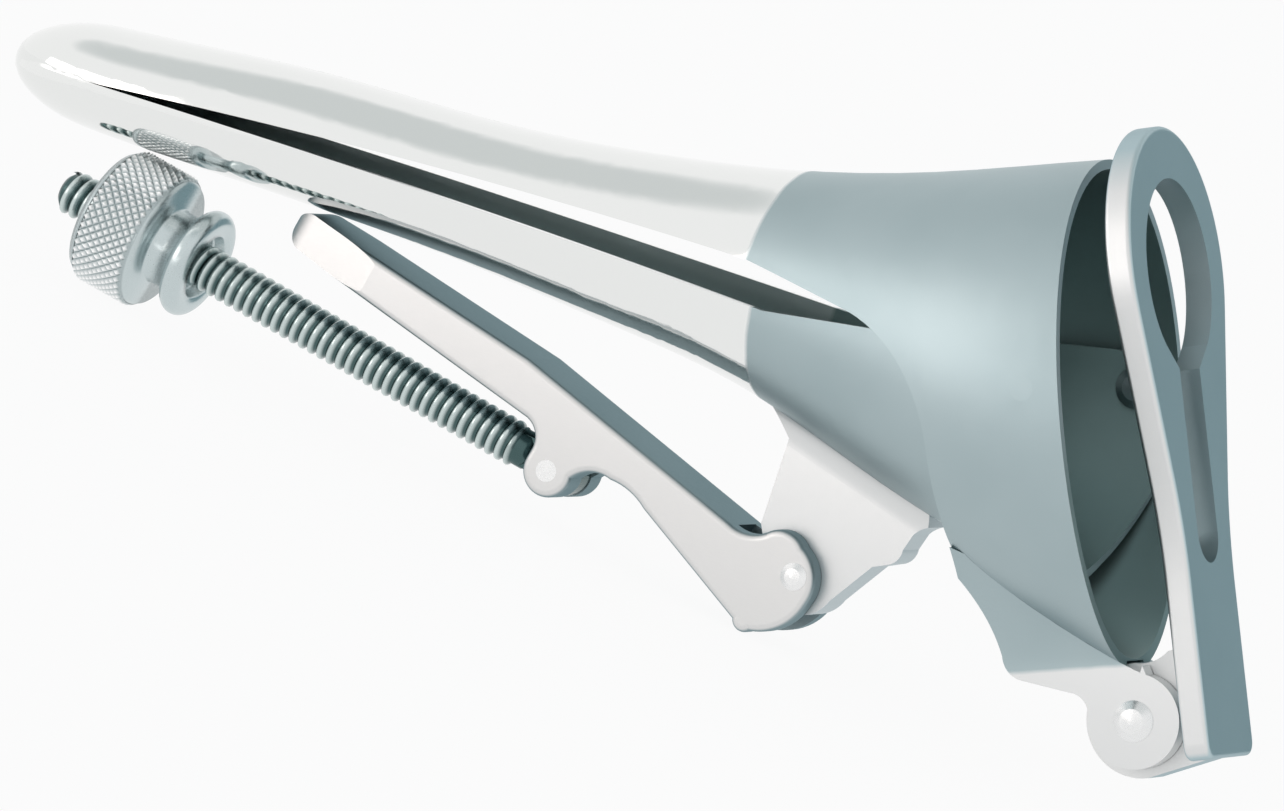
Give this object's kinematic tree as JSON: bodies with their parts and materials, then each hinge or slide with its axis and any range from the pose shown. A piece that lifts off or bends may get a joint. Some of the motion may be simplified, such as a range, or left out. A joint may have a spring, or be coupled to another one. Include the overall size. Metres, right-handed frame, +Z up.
{
  "type": "bivalve speculum",
  "caption": "Folded bivalve speculum: hinged duckbill blades, flared collar, keyhole plate, and a lever that carries a clamp screw with a knurled nut.",
  "frame": {"origin": "centre of the bounding box in plan, at its lowest level, where the folded instrument rests on the nut's wheel and the lever's heel", "axes": "+X from the blade tips to the mouth, +Y from the right side to the left side, +Z up; the blades slope down to the tips"},
  "size_m": [0.1874, 0.0478, 0.0801],
  "materials": {
    "valve_steel": "blades polished, collar satin",
    "satin_steel": "satin",
    "bright_steel": "fine satin, bright"
  },
  "bodies": {
    "upper": {"upper_valve": "valve_steel", "collar_lug": "bright_steel", "valve_hinge_rivet_left": "satin_steel", "valve_hinge_rivet_right": "satin_steel", "plate_pin": "bright_steel"},
    "lower": {"lower_valve": "valve_steel", "lower_lug": "bright_steel"},
    "lever": {"lever": "bright_steel", "lever_pin": "bright_steel", "screw_pin": "bright_steel"},
    "screw": {"screw": "bright_steel"},
    "nut": {"knurled_nut": "satin_steel"},
    "plate": {"keyhole_plate": "satin_steel"}
  },
  "joints": [
    {"name": "valve_hinge", "type": "hinge", "parent": "upper", "child": "lower", "pos_m": [0.05697, 0, 0.04657], "axis": [0, -1, 0], "range_deg": [0, 17]},
    {"name": "lever_hinge", "type": "hinge", "parent": "lower", "child": "lever", "pos_m": [0.03384, 0, 0.00947], "axis": [0, -1, 0], "range_deg": [0, 105]},
    {"name": "screw_hinge", "type": "hinge", "parent": "lever", "child": "screw", "pos_m": [-0.0021, 0, 0.00701], "axis": [0, -1, 0], "range_deg": [0, 87]},
    {"name": "nut_slide", "type": "slide", "parent": "screw", "child": "nut", "axis": [-0.9992, 0, 0.0392], "range_m": [-0.008, 0.001]},
    {"name": "plate_hinge", "type": "hinge", "parent": "upper", "child": "plate", "pos_m": [0.08212, 0, 0.01288], "axis": [0, 1, 0], "range_deg": [-3, 150]}
  ]
}
